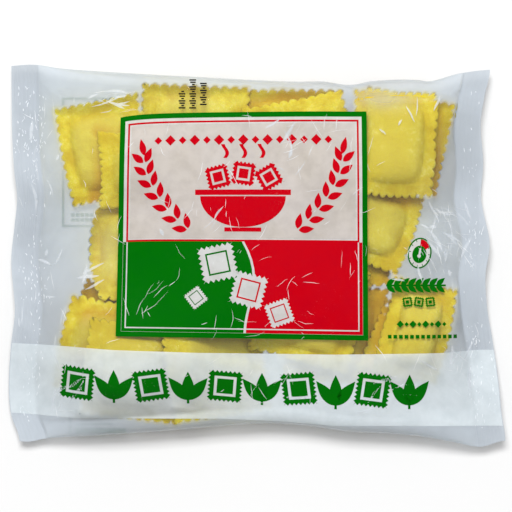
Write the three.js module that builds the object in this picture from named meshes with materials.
// A sealed clear pillow bag of frozen square ravioli, lying on its back with the printed side up.
// Millimetres, +Z up. +X runs from the left end seal to the right one, +Y towards the upper fold.
// The origin is under the middle of the bag, on the surface that it lies on.
import * as THREE from "three";

// ---- driving dimensions ----
const LENGTH = 244; // over both end seals
const WIDTH = 187.6; // over both folds
const SEAL_WIDTH = 13; // of the crimped strip at each end
const SEAL_RIBS = 6; // crimped ribs in each strip
const RIB_HEIGHT = 0.3;
const WALL = 0.9; // over both sheets, where they meet
const SEAL_HEIGHT = 6.5; // of the end seals above the table
const SEAL_WAVE = 2.2; // how far the seals buckle up and down
const SEAL_WAVE_LENGTH = 76;
const FOLD_HEIGHT = 10.5; // of the two folds above the table, half way along
const FOLD_HALF = 6.5; // half the height of the rounded side at a fold, half way along
const FOLD_REACH = 8; // how far in from a fold its round goes
const PLEAT_HEIGHT = 0.8; // of the pleats that run in from the seals
const PLEAT_LENGTH = 27;
const PLEAT_REACH = 9;

const BORDER = 6.5; // of a raviolo, pressed flat all round the filling
const BORDER_THICK = 3;
const CROWN = 5.5; // of the filling above the border
const BELLY = 3; // of the filling below it
const BEND_REACH = 12; // a raviolo bends over this length where it lies on others
const FILM_GAP = 0.3; // between the film and what it lies on

const STEEPEST = 1.3; // slope at which the upper film may rise from a seal or fold onto the heap
const AIR = 0.0015; // curvature that the air in the bag gives to the upper film, per mm
const WEIGHT = 0.045; // curvature that the load gives to the lower film, per mm

// Each edge's inset from the LENGTH x WIDTH rectangle, at shares of the way along it.
const INSETS = {
  left: [
    [0, 5.4], [0.065, 1.3], [0.128, 0.1], [0.25, 1.3], [0.347, 3.3], [0.41, 2.3],
    [0.483, 1.3], [0.567, 2.8], [0.645, 4.3], [0.723, 2.9], [0.828, 1.8], [1, 1.4],
  ],
  right: [
    [0, 0], [0.07, 1.8], [0.16, 3.3], [0.266, 5.8], [0.37, 8.9], [0.457, 9.7], [0.533, 7.7],
    [0.63, 10.9], [0.66, 11.8], [0.75, 10.7], [0.865, 12.1], [0.932, 10.2], [1, 7.5],
  ],
  lower: [
    [0, 3.4], [0.04, 2.4], [0.073, 3.9], [0.17, 5.4], [0.314, 7.8], [0.458, 10.7], [0.53, 11.5],
    [0.603, 10.3], [0.675, 7.8], [0.82, 5.4], [0.892, 2.4], [0.95, 0], [1, 2.9],
  ],
  upper: [
    [0, 0.6], [0.05, 0], [0.105, 1.9], [0.193, 3.6], [0.386, 6.3], [0.587, 8.5], [0.63, 8.3],
    [0.687, 10.1], [0.73, 8.3], [0.82, 7.6], [0.845, 8.3], [0.908, 4.4], [1, 2.2],
  ],
};

// The ravioli, from the bottom of the heap up: where, how far turned, the sides' lengths, and how far
// the middle of the dough is bowed along the first side.
const HEAP = [
  { x: 71.0, y: 56.0, turn: -12, length: 46, width: 48, bow: 0 },
  { x: 17.3, y: 57.3, turn: 0, length: 52, width: 50, bow: 0 },
  { x: -69.5, y: -35.0, turn: -23, length: 46, width: 36, bow: 0 },
  { x: -72.5, y: -46.5, turn: -12, length: 48, width: 48, bow: -1.5 },
  { x: 38.5, y: -38.0, turn: -5, length: 50, width: 50, bow: 0 },
  { x: 37.6, y: 6.1, turn: 8, length: 52, width: 50, bow: 0 },
  { x: -24.0, y: 14.5, turn: 8, length: 52, width: 52, bow: 0 },
  { x: 69.7, y: -43.8, turn: -24, length: 30, width: 48, bow: 0 },
  { x: -31.3, y: 59.0, turn: -2.5, length: 54, width: 51, bow: 0 },
  { x: -74.0, y: 51.8, turn: 11, length: 44, width: 51, bow: -1 },
  { x: -59.5, y: -57.0, turn: -7.5, length: 50, width: 48, bow: 0 },
  { x: 22.5, y: 52.0, turn: 12, length: 51, width: 51, bow: 1 },
  { x: 51.9, y: 17.8, turn: -20, length: 51, width: 42, bow: 2 },
  { x: -51.0, y: 3.0, turn: 0, length: 51, width: 51, bow: -7 },
  { x: -52.3, y: 42.0, turn: 0.5, length: 51, width: 38, bow: 1 },
  { x: -19.5, y: -55.8, turn: 9, length: 49, width: 48, bow: 0 },
  { x: 77.2, y: -36.7, turn: -13, length: 34, width: 50, bow: 1.5 },
  { x: -4.0, y: 8.0, turn: 33, length: 51, width: 50, bow: 0 },
  { x: 26.0, y: -27.0, turn: -14, length: 51, width: 52, bow: 0 },
  { x: 66.3, y: 55.0, turn: -2.6, length: 42, width: 53, bow: 1 },
];

// ---- mesh density ----
const COLUMNS = 46; // between the end seals
const ROWS = 32; // between the rounded folds
const FOLD_ROWS = 3; // round each fold, above and below
const FINER = 3; // the sheets and the heap settle on a grid that is finer than the mesh
const SWEEPS = 220; // enough for a sheet to settle
const OVERSHOOT = 1.85; // speeds the settling up

const { clamp, lerp, degToRad } = THREE.MathUtils;

// A smooth curve through a list of [share, value] points.
function curveThrough(points) {
  const shares = points.map(([share]) => share);
  const values = points.map(([, value]) => value);
  const curve = new THREE.CubicInterpolant(shares, values, 1);
  return (share) => curve.evaluate(clamp(share, 0, 1))[0];
}

const inset = Object.fromEntries(
  Object.entries(INSETS).map(([edge, points]) => [edge, curveThrough(points)]),
);

// A place between two edges is a distance in from one of them, or a share of what is left between
// their margins.
function between(low, high, margin, place) {
  if (place.fromLow !== undefined) return low + place.fromLow;
  if (place.fromHigh !== undefined) return high - place.fromHigh;
  return lerp(low + margin, high - margin, place.share);
}

// Both margins, with evenly spaced places between them.
function placesBetween(count, margin) {
  const shares = Array.from({ length: count - 1 }, (_, i) => ({ share: (i + 1) / count }));
  return [{ fromLow: margin }, ...shares, { fromHigh: margin }];
}

// Where a column and a row meet, seen from above.
function pointAt(column, row) {
  const up = between(0, WIDTH, FOLD_REACH, row) / WIDTH;
  const left = -LENGTH / 2 + inset.left(up);
  const right = LENGTH / 2 - inset.right(up);
  const x = between(left, right, SEAL_WIDTH, column);
  const along = x / LENGTH + 0.5;
  const low = -WIDTH / 2 + inset.lower(along);
  const high = WIDTH / 2 - inset.upper(along);
  return {
    x,
    y: between(low, high, FOLD_REACH, row),
    fromEnd: column.fromLow ?? column.fromHigh,
    fromFold: row.fromLow ?? row.fromHigh,
  };
}

// How near a point is to the bag's ends, from 0 half way along to 1 at the seals.
function endShare(x) {
  return Math.min(1, Math.abs(x) / (LENGTH / 2 - SEAL_WIDTH));
}

// Height of the line where the sheets meet: the folds arch up half way along, the seals buckle.
function rimHeight(x, y) {
  const arch = (FOLD_HEIGHT - SEAL_HEIGHT) * (1 - endShare(x) ** 6);
  const buckle = SEAL_WAVE * endShare(x) ** 6;
  return SEAL_HEIGHT + arch + buckle * Math.sin((2 * Math.PI * y) / SEAL_WAVE_LENGTH + x / 60);
}

// The height of the upper sheet (side 1) or the lower one (side -1) in a seal or round a fold.
function joinedHeight(side, { x, y, fromEnd, fromFold = FOLD_REACH }) {
  if (fromEnd !== undefined) {
    const rib = RIB_HEIGHT * Math.cos((2 * Math.PI * SEAL_RIBS * fromEnd) / SEAL_WIDTH);
    return rimHeight(x, y) + rib + (side * WALL) / 2;
  }
  const half = lerp(FOLD_HALF, WALL / 2, endShare(x) ** 6);
  const round = Math.sqrt(1 - (1 - fromFold / FOLD_REACH) ** 2);
  return rimHeight(x, y) + side * lerp(WALL / 2, half, round);
}

// Settles one sheet between its joined edges, as a film with one curvature and a limit.
function settleSheet(side, points, curvature, limit) {
  const height = points.map((column) => column.map((point) => joinedHeight(side, point)));
  const [last, top] = [points.length - 1, points[0].length - 1];
  const weightX = (last / (LENGTH - 2 * SEAL_WIDTH)) ** 2;
  const weightY = (top / (WIDTH - 2 * FOLD_REACH)) ** 2;
  for (let sweep = 0; sweep < SWEEPS; sweep++) {
    for (let i = 1; i < last; i++) {
      for (let j = 1; j < top; j++) {
        const alongX = weightX * (height[i - 1][j] + height[i + 1][j]);
        const alongY = weightY * (height[i][j - 1] + height[i][j + 1]);
        const free = (alongX + alongY + curvature) / (2 * (weightX + weightY));
        height[i][j] = limit(i, j, lerp(height[i][j], free, OVERSHOOT));
      }
    }
  }
  return height;
}

// How full the filling is at a point of a raviolo, from 0 on the border to 1 in the middle.
function fullness(along, across, raviolo) {
  const u = Math.abs(along) / (raviolo.length / 2 - BORDER);
  const v = Math.abs(across) / (raviolo.width / 2 - BORDER);
  return 1 - Math.min(1, (u ** 5 + v ** 5) ** 0.2) ** 5;
}

// The grid's cells under a raviolo, each with the heights of both faces over its middle sheet.
function footprint(raviolo, points) {
  const turn = degToRad(raviolo.turn);
  const cells = [];
  points.forEach((column, i) =>
    column.forEach(({ x, y }, j) => {
      const [dx, dy] = [x - raviolo.x, y - raviolo.y];
      const across = dy * Math.cos(turn) - dx * Math.sin(turn);
      const bowed = raviolo.bow * (1 - ((2 * across) / raviolo.width) ** 2);
      const along = dx * Math.cos(turn) + dy * Math.sin(turn) - bowed;
      if (Math.abs(along) > raviolo.length / 2 || Math.abs(across) > raviolo.width / 2) return;
      const full = fullness(along, across, raviolo);
      cells.push({ i, j, x, y, under: -BELLY * full, over: BORDER_THICK + CROWN * full });
    }),
  );
  return cells;
}

// A raviolo's lift at each of its cells: clear of what is under it, and as smooth as dough bends.
function drape(cells, support) {
  const near = cells.map((a) =>
    cells.flatMap((b, k) => ((a.x - b.x) ** 2 + (a.y - b.y) ** 2 < BEND_REACH ** 2 ? k : [])),
  );
  const needed = cells.map((cell) => support[cell.i][cell.j] - cell.under);
  const highest = near.map((list) => list.reduce((most, k) => Math.max(most, needed[k]), 0));
  return near.map((list) => list.reduce((sum, k) => sum + highest[k], 0) / list.length);
}

// Stacks the ravioli on the lower sheet and returns the top of the heap.
function heapTop(points, lower) {
  const top = lower.map((column) => column.map((height) => height + FILM_GAP));
  for (const raviolo of HEAP) {
    const cells = footprint(raviolo, points);
    const lift = drape(cells, top);
    cells.forEach((cell, k) => {
      top[cell.i][cell.j] = lift[k] + cell.over;
    });
  }
  return top;
}

// The highest that the heap may hold the upper sheet up: low by the seals and folds.
function ceiling(point, column, row) {
  const fromSeal = (LENGTH - 2 * SEAL_WIDTH) * Math.min(column.share, 1 - column.share);
  const fromFold = (WIDTH - 2 * FOLD_REACH) * Math.min(row.share, 1 - row.share);
  return joinedHeight(1, { x: point.x, y: point.y }) + STEEPEST * Math.min(fromSeal, fromFold);
}

// Pleats run in from each seal and die out towards the middle of the bag.
function pleatHeight({ x, y }, column, row) {
  const fromSeal = (LENGTH - 2 * SEAL_WIDTH) * Math.min(column.share, 1 - column.share);
  const fade = Math.min(1, 8 * row.share, 8 - 8 * row.share);
  const reach = fromSeal / PLEAT_REACH;
  const wave = Math.sin((2 * Math.PI * y) / PLEAT_LENGTH + Math.sign(x));
  return PLEAT_HEIGHT * wave * fade * reach * Math.exp(1 - reach);
}

// Distances in from both edges on either side of the places between them.
function withMargins(distances, places) {
  const low = distances.map((fromLow) => ({ fromLow }));
  const high = distances.map((fromHigh) => ({ fromHigh })).reverse();
  return [...low, ...places, ...high];
}

// The mesh's columns, from end to end, with two of them to each rib of the seals.
function meshColumns() {
  const steps = 2 * SEAL_RIBS;
  const distances = Array.from({ length: steps }, (_, i) => (SEAL_WIDTH * i) / steps);
  return withMargins(distances, placesBetween(COLUMNS, SEAL_WIDTH));
}

// The mesh's rows, from fold to fold, crowded together where the film turns round a fold.
function meshRows() {
  const turned = (j) => FOLD_REACH * (1 - Math.cos((Math.PI * j) / FOLD_ROWS / 2));
  const distances = Array.from({ length: FOLD_ROWS }, (_, j) => turned(j));
  return withMargins(distances, placesBetween(ROWS, FOLD_REACH));
}

// One sheet's vertices over the whole bag: settled between the seals and folds, joined elsewhere.
function sheetVertices(side, settled, pleated) {
  const vertices = [];
  for (const column of meshColumns()) {
    for (const row of meshRows()) {
      const point = pointAt(column, row);
      let height;
      if (column.share === undefined || row.share === undefined) {
        height = joinedHeight(side, point);
      } else {
        const i = Math.round(column.share * COLUMNS * FINER);
        const j = Math.round(row.share * ROWS * FINER);
        height = settled[i][j] + (pleated ? pleatHeight(point, column, row) : 0);
      }
      vertices.push(point.x, point.y, height);
    }
  }
  return vertices;
}

// Closes two sheets over the same columns and rows into one solid.
function closedGeometry(lower, upper) {
  const [columns, rows] = [meshColumns().length, meshRows().length];
  const above = columns * rows;
  const index = [];
  const quad = (a, b, c, d) => index.push(a, b, c, a, c, d);
  const wall = (a, b) => quad(a, b, above + b, above + a);
  for (let i = 0; i < columns - 1; i++) {
    for (let j = 0; j < rows - 1; j++) {
      const a = i * rows + j;
      quad(above + a, above + a + rows, above + a + rows + 1, above + a + 1);
      quad(a, a + 1, a + rows + 1, a + rows);
    }
    wall(i * rows, (i + 1) * rows);
    wall((i + 2) * rows - 1, (i + 1) * rows - 1);
  }
  for (let j = 0; j < rows - 1; j++) {
    wall(j + 1, j);
    wall(above - rows + j, above - rows + j + 1);
  }
  const geometry = new THREE.BufferGeometry();
  geometry.setAttribute("position", new THREE.Float32BufferAttribute([...lower, ...upper], 3));
  geometry.setIndex(index);
  geometry.computeVertexNormals();
  return geometry;
}

// The filled bag as one solid, out to the film that wraps the heap.
function bagGeometry() {
  const columns = placesBetween(COLUMNS * FINER, SEAL_WIDTH);
  const rows = placesBetween(ROWS * FINER, FOLD_REACH);
  const points = columns.map((column) => rows.map((row) => pointAt(column, row)));
  const lower = settleSheet(-1, points, -WEIGHT, (i, j, height) => Math.max(0, height));
  const heap = heapTop(points, lower);
  const upper = settleSheet(1, points, AIR, (i, j, height) => {
    const held = Math.min(heap[i][j], ceiling(points[i][j], columns[i], rows[j]));
    return Math.max(height, held + FILM_GAP);
  });
  return closedGeometry(sheetVertices(-1, lower, false), sheetVertices(1, upper, true));
}

const filmMaterial = new THREE.MeshStandardMaterial({
  color: 0xd5d9b4,
  roughness: 0.3,
  metalness: 0,
});

const bag = new THREE.Mesh(bagGeometry(), filmMaterial);
bag.name = "bag";

const ravioliBag = new THREE.Group();
ravioliBag.add(bag);

export default ravioliBag;
